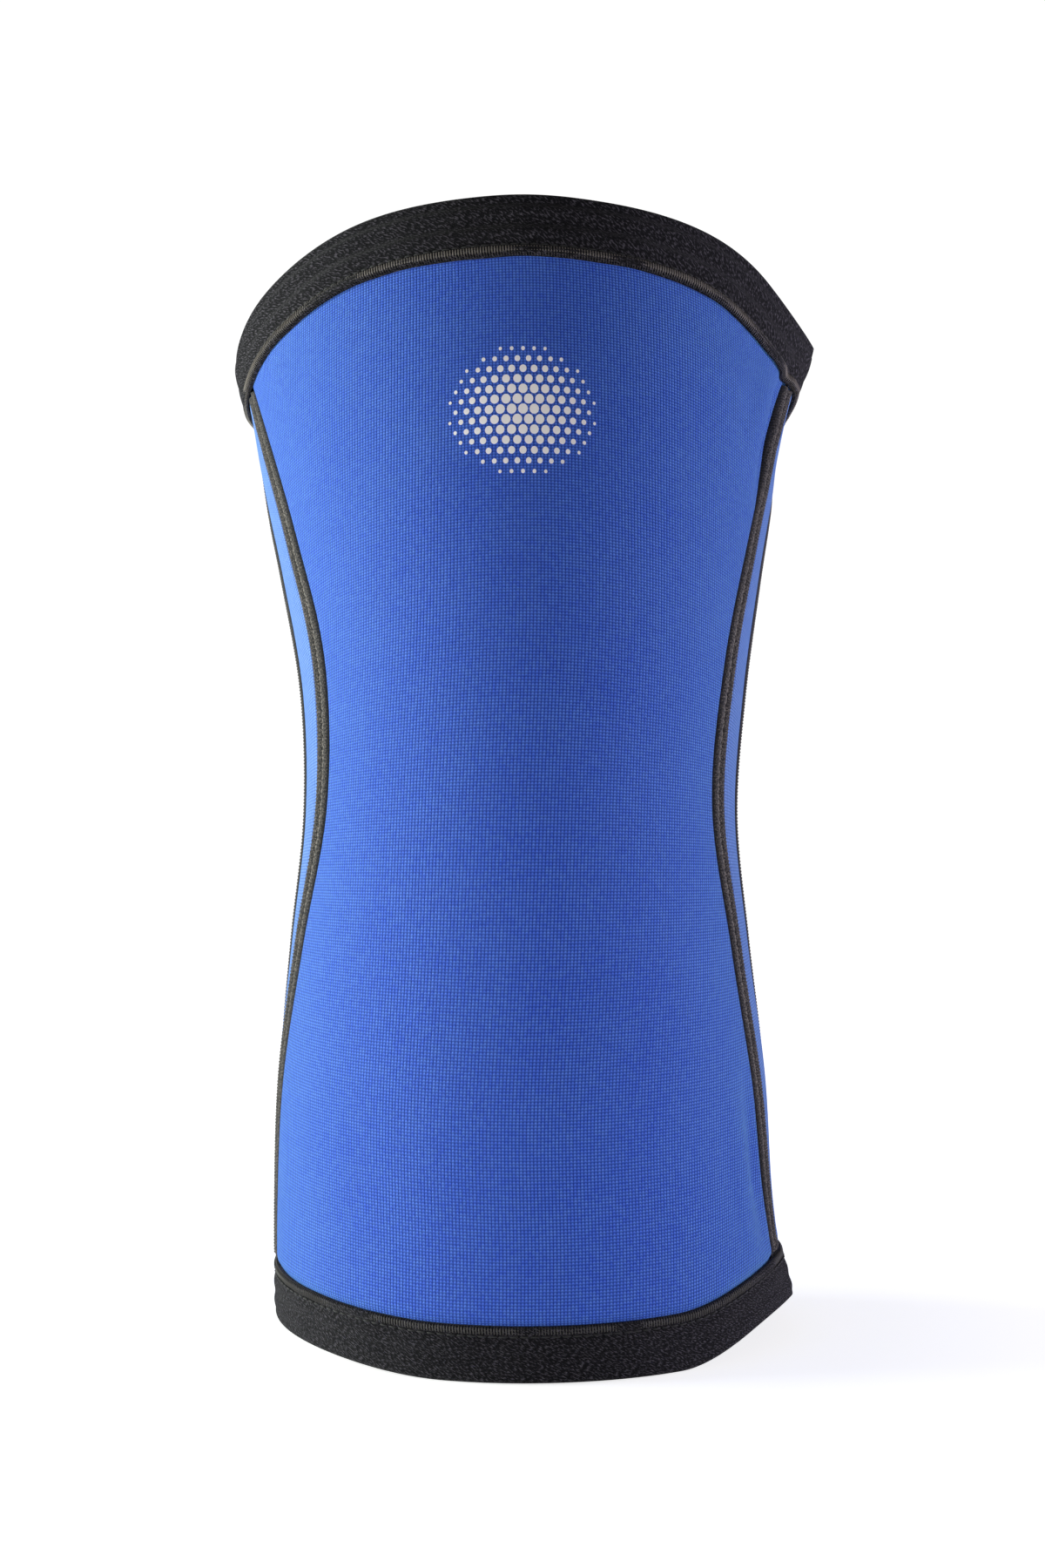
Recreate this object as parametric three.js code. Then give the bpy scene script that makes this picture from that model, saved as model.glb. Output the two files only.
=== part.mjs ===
// A pull-on knee sleeve of neoprene sheet, standing upright on its lower hem.
// Four sewn panels make a tube bent like a slightly flexed knee. A cover tape runs down each seam
// and a knitted band is folded over each rim. Millimetres and degrees, +Z up, the kneecap side faces -Y.

import * as THREE from "three";

// Overall form, measured on the outer face of the neoprene
const SLEEVE_LENGTH = 275; // along the middle line, rim to rim
const KNEE_HALF_WIDTH = 58;
const KNEE_FRONT_DEPTH = 52; // middle line to kneecap side
const KNEE_BACK_DEPTH = 42; // middle line to back of the knee
const BACK_ROUNDNESS = 2.3; // exponent of the back half of a section, above 2 is flatter

// Sheet, bands and tapes
const NEOPRENE_THICKNESS = 5;
const PIECE_GAP = 0.3; // clearance between pieces that are sewn together
const BAND_THICKNESS = 1.2;
const BAND_ROUNDING = 1.8; // outer radius of the fold over a rim
const UPPER_BAND_HEIGHT = 16.5;
const LOWER_BAND_HEIGHT = 16;
const TAPE_WIDTH = 6.4;
const TAPE_THICKNESS = 1;
const SEAM_DIP = 1; // a panel's sewn edge is pulled in this far
const SEAM_DIP_WIDTH = 4; // over this distance from the seam

// Facets
const FRONT_FACETS = 24;
const BACK_FACETS = 18;
const GUSSET_FACETS = 4;
const BODY_FACETS = 17;
const SPINE_STEPS = 240;

// Sections from the lower rim to the upper rim. Lean tips a section back, in degrees. Widths and depths
// are shares of those at the knee. Round is the exponent of the front half, where 2 is an ellipse. Each
// seam is a share of its half's depth away from the widest line.
const SECTIONS = [
  { along: 0.0, lean: 0, left: 1.155, right: 1.225, front: 1.2, back: 0.8, round: 2, leftSeam: 0.12, rightSeam: 0.25, backSeam: 0.34 },
  { along: 0.12, lean: -4, left: 1.155, right: 1.165, front: 1.16, back: 0.85, round: 2, leftSeam: 0.14, rightSeam: 0.26, backSeam: 0.3 },
  { along: 0.25, lean: -5, left: 1.135, right: 1.125, front: 1.1, back: 0.92, round: 2, leftSeam: 0.2, rightSeam: 0.33, backSeam: 0.2 },
  { along: 0.38, lean: -1, left: 1.07, right: 1.04, front: 1.02, back: 1.0, round: 2, leftSeam: 0.31, rightSeam: 0.38, backSeam: 0.08 },
  { along: 0.5, lean: 7, left: 1.01, right: 0.985, front: 1.0, back: 1.0, round: 2, leftSeam: 0.43, rightSeam: 0.45, backSeam: 0.03 },
  { along: 0.62, lean: 16, left: 1.035, right: 1.035, front: 1.04, back: 1.0, round: 2, leftSeam: 0.44, rightSeam: 0.41, backSeam: 0.03 },
  { along: 0.75, lean: 22, left: 1.155, right: 1.135, front: 1.14, back: 1.05, round: 2, leftSeam: 0.35, rightSeam: 0.32, backSeam: 0.1 },
  { along: 0.88, lean: 26, left: 1.3, right: 1.25, front: 1.26, back: 1.1, round: 2, leftSeam: 0.25, rightSeam: 0.23, backSeam: 0.22 },
  { along: 0.94, lean: 28, left: 1.36, right: 1.28, front: 1.34, back: 1.12, round: 1.96, leftSeam: 0.17, rightSeam: 0.16, backSeam: 0.26 },
  { along: 1.0, lean: 29, left: 1.43, right: 1.39, front: 1.42, back: 1.15, round: 1.93, leftSeam: 0.1, rightSeam: 0.13, backSeam: 0.3 },
];

// Rises of the lower rim off the floor. Side is -1 on the left and 1 on the right. From is the share of
// the half width where a rise sets in, and reach the share of the length in which it fades.
const RIM_RISES = [
  { side: -1, rise: 4.8, from: 0.3, reach: 0.3 },
  { side: 1, rise: 8.5, from: 0.45, reach: 0.3 },
];

// The upper rim's right side stands out and up in a crease. It sets in at a share of the length, and runs
// beyond the front seam by a distance within which the seam's tape ends.
const CREASE = { from: 0.85, beyondSeam: 4, reachAcross: 23, height: 2.7, rise: 5.2 };

// Soft folds in the front panel, placed by their distance from its right seam. A ridge has negative depth.
const FOLDS = [
  { along: 0.88, reachAlong: 0.08, fromSeam: 2, reachAcross: 10, depth: 3 },
  { along: 0.88, reachAlong: 0.09, fromSeam: 16, reachAcross: 11, depth: -1.3 },
  { along: 0.15, reachAlong: 0.11, fromSeam: 11, reachAcross: 9, depth: 1.4 },
];

// Section of a cover tape: shares of its half width and of its thickness
const TAPE_PROFILE = [
  { across: -1, height: 0.6 },
  { across: -0.75, height: 1 },
  { across: -0.3, height: 1 },
  { across: 0, height: 0.55 },
  { across: 0.3, height: 1 },
  { across: 0.75, height: 1 },
  { across: 1, height: 0.6 },
];

const FABRICS = {
  frontNeoprene: { color: 0x3f66b4, roughness: 0.9 },
  sideNeoprene: { color: 0x5a80c4, roughness: 0.9 },
  knitBand: { color: 0x27272b, roughness: 0.95 },
  coverTape: { color: 0x1a1a1d, roughness: 0.8 },
};

// Smooth curves through the columns of the section table
const COLUMNS = Object.keys(SECTIONS[0]).slice(1);
const sectionCurves = new THREE.CubicInterpolant(
  SECTIONS.map((row) => row.along),
  SECTIONS.flatMap((row) => COLUMNS.map((column) => row[column])),
  COLUMNS.length,
);

function readSections(t) {
  const values = sectionCurves.evaluate(THREE.MathUtils.clamp(t, 0, 1));
  return Object.fromEntries(COLUMNS.map((column, i) => [column, values[i]]));
}

// The middle line starts on the floor and follows the lean of the sections
const spine = [new THREE.Vector3()];
for (let i = 1; i <= SPINE_STEPS; i++) {
  const lean = THREE.MathUtils.degToRad(readSections((i - 0.5) / SPINE_STEPS).lean);
  const step = new THREE.Vector3(0, Math.sin(lean), Math.cos(lean));
  spine.push(spine[i - 1].clone().addScaledVector(step, SLEEVE_LENGTH / SPINE_STEPS));
}

function spinePoint(t) {
  const position = THREE.MathUtils.clamp(t, 0, 1) * SPINE_STEPS;
  const i = Math.min(Math.floor(position), SPINE_STEPS - 1);
  return spine[i].clone().lerp(spine[i + 1], position - i);
}

// All that a point on one section needs. Angles run from 0 at the front through the right side.
const stations = new Map();
function station(t) {
  if (!stations.has(t)) {
    const row = readSections(t);
    const backRight = Math.PI - Math.acos(row.backSeam ** (BACK_ROUNDNESS / 2));
    stations.set(t, {
      t,
      centre: spinePoint(t),
      lean: THREE.MathUtils.degToRad(row.lean),
      left: row.left * KNEE_HALF_WIDTH,
      right: row.right * KNEE_HALF_WIDTH,
      front: row.front * KNEE_FRONT_DEPTH,
      back: row.back * KNEE_BACK_DEPTH,
      round: row.round,
      seams: {
        frontLeft: -Math.acos(row.leftSeam ** (row.round / 2)),
        frontRight: Math.acos(row.rightSeam ** (row.round / 2)),
        backRight,
        backLeft: -backRight,
      },
    });
  }
  return stations.get(t);
}

function rimRise(t, sine) {
  return RIM_RISES.reduce((total, row) => {
    const fade = Math.max(0, 1 - t / row.reach) ** 2;
    return total + row.rise * fade * THREE.MathUtils.smoothstep(sine * row.side, row.from, 1);
  }, 0);
}

function foldDepth(at, angle) {
  const fromSeam = (at.seams.frontRight - angle) * at.right;
  return FOLDS.reduce((total, row) => {
    const off = Math.hypot((at.t - row.along) / row.reachAlong, (fromSeam - row.fromSeam) / row.reachAcross);
    return total + row.depth * THREE.MathUtils.smoothstep(1 - off, 0, 1);
  }, 0);
}

function creaseShare(at, angle) {
  const beyondSeam = (angle - at.seams.frontRight) * at.right;
  const nearness = Math.max(0, 1 - Math.abs(beyondSeam - CREASE.beyondSeam) / CREASE.reachAcross);
  return nearness * THREE.MathUtils.smoothstep(at.t, CREASE.from, 1);
}

// A point at a height above the outer face of the neoprene, negative inside
function skin(t, angle, height) {
  const at = station(t);
  const sine = Math.sin(angle);
  const cosine = Math.cos(angle);
  const halfWidth = sine < 0 ? at.left : at.right;
  const depth = cosine > 0 ? at.front : at.back;
  const exponent = cosine > 0 ? at.round : BACK_ROUNDNESS;
  const x = Math.sign(sine) * Math.abs(sine) ** (2 / exponent);
  const y = -Math.sign(cosine) * Math.abs(cosine) ** (2 / exponent);
  const outward = new THREE.Vector2(
    (Math.sign(x) * Math.abs(x) ** (exponent - 1)) / halfWidth,
    (Math.sign(y) * Math.abs(y) ** (exponent - 1)) / depth,
  ).normalize();
  const crease = creaseShare(at, angle);
  const raised = height - foldDepth(at, angle) + crease * CREASE.height;
  const along = y * depth + outward.y * raised;
  return new THREE.Vector3(
    x * halfWidth + outward.x * raised,
    at.centre.y + along * Math.cos(at.lean),
    at.centre.z - along * Math.sin(at.lean) + rimRise(t, sine) + crease * CREASE.rise,
  );
}

// The angle that lies a distance along the skin from another angle
function anglePast(t, angle, distance) {
  const probe = 0.01;
  return angle + (distance * probe) / skin(t, angle + probe / 2, 0).distanceTo(skin(t, angle - probe / 2, 0));
}

function seamDip(distance) {
  return SEAM_DIP * Math.max(0, 1 - Math.abs(distance) / SEAM_DIP_WIDTH);
}

// Angles across one panel, starting and ending a distance short of its seams
function anglesAcross(t, panel, edge) {
  const seams = station(t).seams;
  const start = seams[panel.from];
  const end = seams[panel.to] + (panel.wraps ? 2 * Math.PI : 0);
  const flatStart = anglePast(t, start, SEAM_DIP_WIDTH);
  const flatEnd = anglePast(t, end, -SEAM_DIP_WIDTH);
  const angles = [anglePast(t, start, edge)];
  for (let i = 0; i <= panel.facets; i++) {
    angles.push(THREE.MathUtils.lerp(flatStart, flatEnd, i / panel.facets));
  }
  angles.push(anglePast(t, end, -edge));
  return angles;
}

// Closed solid through loops of points, each as long as the others. Open runs of loops are strips with
// as many points on their outer as on their inner side, and get a cap at both ends.
function loft(loops, ring) {
  const size = loops[0].length;
  const triangles = [];
  const addQuad = (a, b, c, d) => triangles.push(a, b, c, a, c, d);
  const runs = ring ? loops.length : loops.length - 1;
  for (let i = 0; i < runs; i++) {
    const here = i * size;
    const next = ((i + 1) % loops.length) * size;
    for (let j = 0; j < size; j++) {
      const k = (j + 1) % size;
      addQuad(here + j, here + k, next + k, next + j);
    }
  }
  const last = (loops.length - 1) * size;
  for (let j = 0; !ring && j < size / 2 - 1; j++) {
    addQuad(j, size - 1 - j, size - 2 - j, j + 1);
    addQuad(last + j, last + j + 1, last + size - 2 - j, last + size - 1 - j);
  }
  const geometry = new THREE.BufferGeometry();
  const positions = loops.flat().flatMap((point) => point.toArray());
  geometry.setAttribute("position", new THREE.Float32BufferAttribute(positions, 3));
  geometry.setIndex(triangles);
  geometry.computeVertexNormals();
  return geometry;
}

// A strip up the sleeve. Each column gives its angle and the heights of its two faces.
function strip(distances, columnsAt) {
  const loops = distances.map((distance) => {
    const t = distance / SLEEVE_LENGTH;
    const columns = columnsAt(t);
    const outer = columns.map((column) => skin(t, column.angle, column.outer));
    const inner = columns.map((column) => skin(t, column.angle, column.inner));
    return [...outer, ...inner.reverse()];
  });
  return loft(loops, false);
}

// Distances up the sleeve at which the pieces have their sections
const bodyDistances = [];
for (let i = 0; i <= BODY_FACETS; i++) {
  bodyDistances.push(
    THREE.MathUtils.lerp(LOWER_BAND_HEIGHT, SLEEVE_LENGTH - UPPER_BAND_HEIGHT, i / BODY_FACETS),
  );
}
const panelDistances = [
  BAND_THICKNESS + PIECE_GAP,
  LOWER_BAND_HEIGHT / 2,
  ...bodyDistances,
  SLEEVE_LENGTH - UPPER_BAND_HEIGHT / 2,
  SLEEVE_LENGTH - BAND_THICKNESS - PIECE_GAP,
];
const tapeDistances = [
  LOWER_BAND_HEIGHT + PIECE_GAP,
  ...bodyDistances.slice(1, -1),
  SLEEVE_LENGTH - UPPER_BAND_HEIGHT - PIECE_GAP,
];

const PANELS = [
  { name: "front_panel", from: "frontLeft", to: "frontRight", facets: FRONT_FACETS, fabric: "frontNeoprene" },
  { name: "right_gusset", from: "frontRight", to: "backRight", facets: GUSSET_FACETS, fabric: "sideNeoprene" },
  { name: "back_panel", from: "backRight", to: "backLeft", wraps: true, facets: BACK_FACETS, fabric: "frontNeoprene" },
  { name: "left_gusset", from: "backLeft", to: "frontLeft", facets: GUSSET_FACETS, fabric: "sideNeoprene" },
];
const TAPES = [
  { name: "front_left_tape", seam: "frontLeft" },
  { name: "front_right_tape", seam: "frontRight" },
  { name: "back_right_tape", seam: "backRight" },
  { name: "back_left_tape", seam: "backLeft" },
];

function panelGeometry(panel) {
  return strip(panelDistances, (t) => {
    const angles = anglesAcross(t, panel, PIECE_GAP / 2);
    return angles.map((angle, i) => {
      const atEdge = i === 0 || i === angles.length - 1;
      return { angle, outer: atEdge ? -seamDip(PIECE_GAP / 2) : 0, inner: -NEOPRENE_THICKNESS };
    });
  });
}

function tapeGeometry(tape) {
  return strip(tapeDistances, (t) => {
    const seamAngle = station(t).seams[tape.seam];
    return TAPE_PROFILE.map((row) => {
      const across = (row.across * TAPE_WIDTH) / 2;
      const inner = PIECE_GAP - seamDip(across);
      return { angle: anglePast(t, seamAngle, across), outer: inner + row.height * TAPE_THICKNESS, inner };
    });
  });
}

// Knitted band folded over a rim. Its section runs down the outside, round the rim and back between.
function bandGeometry(bandHeight, atUpperRim) {
  const outside = PIECE_GAP + BAND_THICKNESS;
  const inside = -NEOPRENE_THICKNESS - outside;
  const corner = BAND_ROUNDING * (1 - Math.SQRT1_2);
  const profile = [
    { up: bandHeight, height: outside },
    { up: bandHeight / 2, height: outside },
    { up: BAND_ROUNDING, height: outside },
    { up: corner, height: outside - corner },
    { up: 0, height: outside - BAND_ROUNDING },
    { up: 0, height: inside + BAND_ROUNDING },
    { up: corner, height: inside + corner },
    { up: BAND_ROUNDING, height: inside },
    { up: bandHeight / 2, height: inside },
    { up: bandHeight, height: inside },
    { up: bandHeight, height: inside + BAND_THICKNESS },
    { up: bandHeight / 2, height: inside + BAND_THICKNESS },
    { up: BAND_THICKNESS, height: inside + BAND_THICKNESS },
    { up: BAND_THICKNESS, height: outside - BAND_THICKNESS },
    { up: bandHeight / 2, height: outside - BAND_THICKNESS },
    { up: bandHeight, height: outside - BAND_THICKNESS },
  ];
  if (atUpperRim) {
    profile.reverse();
  }
  const sections = profile.map((row) => {
    const t = (atUpperRim ? SLEEVE_LENGTH - row.up : row.up) / SLEEVE_LENGTH;
    const angles = PANELS.flatMap((panel) => anglesAcross(t, panel, 0).slice(0, -1));
    return angles.map((angle) => skin(t, angle, row.height));
  });
  const loops = sections[0].map((_, column) => sections.map((section) => section[column]));
  return loft(loops, true);
}

const sleeve = new THREE.Group();
sleeve.name = "knee_sleeve";

function addPiece(name, geometry, fabric) {
  const mesh = new THREE.Mesh(geometry, new THREE.MeshStandardMaterial(FABRICS[fabric]));
  mesh.name = name;
  sleeve.add(mesh);
}

for (const panel of PANELS) {
  addPiece(panel.name, panelGeometry(panel), panel.fabric);
}
for (const tape of TAPES) {
  addPiece(tape.name, tapeGeometry(tape), "coverTape");
}
addPiece("lower_hem_band", bandGeometry(LOWER_BAND_HEIGHT, false), "knitBand");
addPiece("upper_hem_band", bandGeometry(UPPER_BAND_HEIGHT, true), "knitBand");

// The frame's origin is the middle of the underside of the sleeve's bounding box
const bounds = new THREE.Box3().setFromObject(sleeve);
const middle = bounds.getCenter(new THREE.Vector3());
sleeve.position.set(-middle.x, -middle.y, -bounds.min.z);

export default sleeve;
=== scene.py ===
# A blue neoprene knee sleeve with black seam tapes and knitted hem bands, standing on a pale floor.
# The pieces follow in the order in which such a sleeve is sewn, from the front panel to the print.

import bpy
import numpy as np
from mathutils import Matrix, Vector


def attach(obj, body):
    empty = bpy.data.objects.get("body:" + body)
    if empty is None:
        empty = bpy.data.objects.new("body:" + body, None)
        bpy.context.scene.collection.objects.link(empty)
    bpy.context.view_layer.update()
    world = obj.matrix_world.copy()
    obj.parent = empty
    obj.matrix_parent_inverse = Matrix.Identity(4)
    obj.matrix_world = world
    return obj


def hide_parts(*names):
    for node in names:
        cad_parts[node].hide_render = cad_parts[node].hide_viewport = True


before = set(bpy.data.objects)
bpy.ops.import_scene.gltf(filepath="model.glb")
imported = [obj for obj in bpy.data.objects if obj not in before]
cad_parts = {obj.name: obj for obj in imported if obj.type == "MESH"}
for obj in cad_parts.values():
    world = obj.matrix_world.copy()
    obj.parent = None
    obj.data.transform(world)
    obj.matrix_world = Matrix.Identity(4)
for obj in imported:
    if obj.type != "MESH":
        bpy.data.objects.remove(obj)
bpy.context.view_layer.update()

# Front panel
# One wide sheet of neoprene foam, with a ribbed blue jersey laminated on the outside and a black one on
# the inside. The sewn tube is bent like a slightly flexed knee, and all other pieces follow its form.
# Sizes are in millimetres, which MM turns into metres, and sizes in materials are in metres.
MM = 0.001
SLEEVE_LENGTH = 275
KNEE_HALF_WIDTH = 58
KNEE_FRONT_DEPTH = 52
KNEE_BACK_DEPTH = 42
BACK_ROUNDNESS = 2.3
NEOPRENE_THICKNESS = 5

# Moves the form in millimetres, so that the middle of its box stands over the frame's origin
STANDING_PLACE = np.array([0.1459, -11.3425, 0])

# Sections from the lower rim to the upper one, at shares of the length. Lean tips a section back, in
# degrees. Widths and depths are shares of those at the knee. Round is the exponent of the front half,
# where 2 is an ellipse. Each seam is a share of its half's depth away from the widest line.
SECTION_COLUMNS = (
    "along", "lean", "left", "right", "front", "back", "round", "left_seam", "right_seam", "back_seam",
)
SECTIONS = np.array([
    (0.0, 0, 1.155, 1.225, 1.2, 0.8, 2, 0.12, 0.25, 0.34),
    (0.12, -4, 1.155, 1.165, 1.16, 0.85, 2, 0.14, 0.26, 0.3),
    (0.25, -5, 1.135, 1.125, 1.1, 0.92, 2, 0.2, 0.33, 0.2),
    (0.38, -1, 1.07, 1.04, 1.02, 1.0, 2, 0.31, 0.38, 0.08),
    (0.5, 7, 1.01, 0.985, 1.0, 1.0, 2, 0.43, 0.45, 0.03),
    (0.62, 16, 1.035, 1.035, 1.04, 1.0, 2, 0.44, 0.41, 0.03),
    (0.75, 22, 1.155, 1.135, 1.14, 1.05, 2, 0.35, 0.32, 0.1),
    (0.88, 26, 1.3, 1.25, 1.26, 1.1, 2, 0.25, 0.23, 0.22),
    (0.94, 28, 1.36, 1.28, 1.34, 1.12, 1.96, 0.17, 0.16, 0.26),
    (1.0, 29, 1.43, 1.39, 1.42, 1.15, 1.93, 0.1, 0.13, 0.3),
])

# Rises of the lower rim off the floor. Side is -1 on the left and 1 on the right. A rise starts at a
# share of the half width, and fades within its reach, a share of the length.
RIM_RISES = (
    {"side": -1, "rise": 3, "start": 0.3, "reach": 0.3},
    {"side": 1, "rise": 8, "start": 0.56, "reach": 0.3},
)

# Soft folds, creases of the rims and a hollow, placed in millimetres from the right front seam, which is
# negative on the gusset. A ridge is a fold of negative depth.
FOLDS = (
    {"along": 0.88, "reach_along": 0.11, "from_seam": 6.2, "reach_across": 5.4, "depth": 2.6},
    {"along": 0.88, "reach_along": 0.09, "from_seam": 15, "reach_across": 8, "depth": -0.8},
    {"along": 0.17, "reach_along": 0.12, "from_seam": 9.5, "reach_across": 7, "depth": 1.8},
    {"along": 0.17, "reach_along": 0.12, "from_seam": 18, "reach_across": 8, "depth": -0.8},
)
CREASES = (
    {"start": 0.86, "end": 0.95, "from_seam": -4, "reach_across": 38, "height": 3.6, "rise": 0},
    {"start": 0.85, "end": 1, "from_seam": -4, "reach_across": 38, "height": 0, "rise": 5.2},
    {"start": 0.085, "end": 0.015, "from_seam": -4, "reach_across": 30, "height": 2.4, "rise": 0},
    {"start": 0.16, "end": 0.04, "from_seam": -4, "reach_across": 40, "height": 0, "rise": 1.1},
)
HOLLOW = {"start": 0.84, "end": 0.94, "from_seam": -20, "reach_across": 14, "depth": 1.8}

# How far each band presses the neoprene in, and the distances from a rim within which this ends
HEM_PRESS = {"lower": 1.3, "upper": 0, "start": 15.8, "end": 18.6}

# Rises of the upper rim, at angles in degrees from the front towards the right
UPPER_LIFTS = (
    {"angle": -114, "reach": 42, "start": 0.8, "end": 0.94, "rise": 7},
    {"angle": -33, "reach": 25, "start": 0.8, "end": 0.94, "rise": 0.9},
    {"angle": 44, "reach": 34, "start": 0.8, "end": 0.94, "rise": 1.9},
)


def smooth_step(x, low=0.0, high=1.0):
    x = np.clip((x - low) / (high - low), 0, 1)
    return x * x * (3 - 2 * x)


def sections_at(t):
    """The section table read at shares of the length, on a smooth curve through its rows."""
    along = SECTIONS[:, 0]
    last = len(along) - 1
    i = np.clip(np.searchsorted(along, t, side="right"), 1, last)
    before = np.where(i > 1, i - 2, i)
    after = np.where(i < last, i + 1, i - 1)
    step = along[i] - along[i - 1]
    p = (t - along[i - 1]) / step
    slope_in = 0.5 * step / (along[i - 1] - along[before])
    slope_out = 0.5 * step / (along[after] - along[i])
    weights = (
        (before, slope_in * (-(p**3) + 2 * p**2 - p)),
        (i - 1, (1 + slope_in) * p**3 - (1.5 + 2 * slope_in) * p**2 + (slope_in - 0.5) * p + 1),
        (i, -(1 + slope_out) * p**3 + (1.5 + slope_out) * p**2 + 0.5 * p),
        (after, slope_out * (p**3 - p**2)),
    )
    table = sum(weight[..., None] * SECTIONS[row] for row, weight in weights)
    return {name: table[..., k] for k, name in enumerate(SECTION_COLUMNS)}


SPINE_STEPS = 240
spine_share = np.linspace(0, 1, SPINE_STEPS + 1)
spine_lean = np.radians(sections_at(spine_share[1:] - 0.5 / SPINE_STEPS)["lean"])
spine_y = np.append(0, np.cumsum(np.sin(spine_lean))) * SLEEVE_LENGTH / SPINE_STEPS
spine_z = np.append(0, np.cumsum(np.cos(spine_lean))) * SLEEVE_LENGTH / SPINE_STEPS


def seam_angle(t, seam):
    """The angle of a seam. Angles run from 0 at the front through the right side."""
    at = sections_at(np.clip(t, 0, 1))
    if seam == "front_left":
        return -np.arccos(at["left_seam"] ** (at["round"] / 2))
    if seam == "front_right":
        return np.arccos(at["right_seam"] ** (at["round"] / 2))
    back_right = np.pi - np.arccos(at["back_seam"] ** (BACK_ROUNDNESS / 2))
    return back_right if seam == "back_right" else 2 * np.pi - back_right


def soft_forms(t, angle, at):
    """Heights of the folds and creases over the plain skin, and how far the skin rises there."""
    height, rise = np.zeros_like(t), np.zeros_like(t)
    from_seam = (seam_angle(t, "front_right") - angle) * at["right"] * KNEE_HALF_WIDTH
    for row in FOLDS:
        off_along = (t - row["along"]) / row["reach_along"]
        off_across = (from_seam - row["from_seam"]) / row["reach_across"]
        height = height - row["depth"] * smooth_step(1 - np.hypot(off_along, off_across))
    for row in CREASES:
        nearness = np.maximum(0, 1 - np.abs(from_seam - row["from_seam"]) / row["reach_across"])
        crease = smooth_step(t, row["start"], row["end"]) * nearness**2
        height = height + row["height"] * crease
        rise = rise + row["rise"] * crease
    hollow = smooth_step(1 - np.abs(from_seam - HOLLOW["from_seam"]) / HOLLOW["reach_across"])
    height = height - HOLLOW["depth"] * hollow * smooth_step(t, HOLLOW["start"], HOLLOW["end"])
    for from_rim, rim in ((t, "lower"), (1 - t, "upper")):
        free = smooth_step(from_rim * SLEEVE_LENGTH, HEM_PRESS["start"], HEM_PRESS["end"])
        height = height - HEM_PRESS[rim] * (1 - free)
    for row in UPPER_LIFTS:
        turned = np.degrees(np.arccos(np.cos(angle - np.radians(row["angle"]))))
        near = smooth_step(1 - turned / row["reach"])
        rise = rise + row["rise"] * near * smooth_step(t, row["start"], row["end"])
    for row in RIM_RISES:
        fade = np.maximum(0, 1 - t / row["reach"]) ** 2
        rise = rise + row["rise"] * fade * smooth_step(np.sin(angle) * row["side"], row["start"])
    return height, rise


def skin(t, angle, height):
    """Points in metres, at a height in millimetres above the outer face of the neoprene."""
    t, angle, height = np.broadcast_arrays(t, angle, height)
    t = np.clip(t, 0, 1)
    at = sections_at(t)
    sine, cosine = np.sin(angle), np.cos(angle)
    half_width = np.where(sine < 0, at["left"], at["right"]) * KNEE_HALF_WIDTH
    depth = np.where(cosine > 0, at["front"] * KNEE_FRONT_DEPTH, at["back"] * KNEE_BACK_DEPTH)
    power = np.where(cosine > 0, at["round"], BACK_ROUNDNESS)
    x = np.sign(sine) * np.abs(sine) ** (2 / power)
    y = -np.sign(cosine) * np.abs(cosine) ** (2 / power)
    outward = np.stack([
        np.sign(x) * np.abs(x) ** (power - 1) / half_width,
        np.sign(y) * np.abs(y) ** (power - 1) / depth,
    ])
    outward = outward / np.hypot(*outward)
    relief, rise = soft_forms(t, angle, at)
    raised = height + relief
    lean = np.radians(at["lean"])
    across = y * depth + outward[1] * raised
    points = np.stack([
        x * half_width + outward[0] * raised,
        np.interp(t, spine_share, spine_y) + across * np.cos(lean),
        np.interp(t, spine_share, spine_z) - across * np.sin(lean) + rise,
    ], axis=-1)
    return (points + STANDING_PLACE) * MM


def angle_past(t, angle, distance):
    """The angle that lies a distance in millimetres along the skin from another angle."""
    probe = 0.01
    moved = skin(t, angle + probe / 2, 0) - skin(t, angle - probe / 2, 0)
    return angle + distance * MM * probe / np.linalg.norm(moved, axis=-1)


# A panel's sewn edge rolls down into the channel where the tape lies
ROLL_START = 4.6
ROLL_END = 2.2
EDGE_GAP = 0.15
ROLL_DEPTHS = {
    "front_left": {"before": 0.6, "after": 1.3},
    "front_right": {"before": 1.3, "after": 0.6},
    "back_right": {"before": 0.35, "after": 0.35},
    "back_left": {"before": 0.35, "after": 0.35},
}


def edge_roll(seam, side, distance):
    """How far a panel is pulled in at a distance from a seam."""
    return ROLL_DEPTHS[seam][side] * (1 - smooth_step(distance, ROLL_END, ROLL_START))


def add_object(name, data):
    """An object in the scene, made of a mesh, a lamp or a camera."""
    made = bpy.data.objects.new(name, data)
    bpy.context.scene.collection.objects.link(made)
    return made


SHARP_ANGLE = 50


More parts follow.
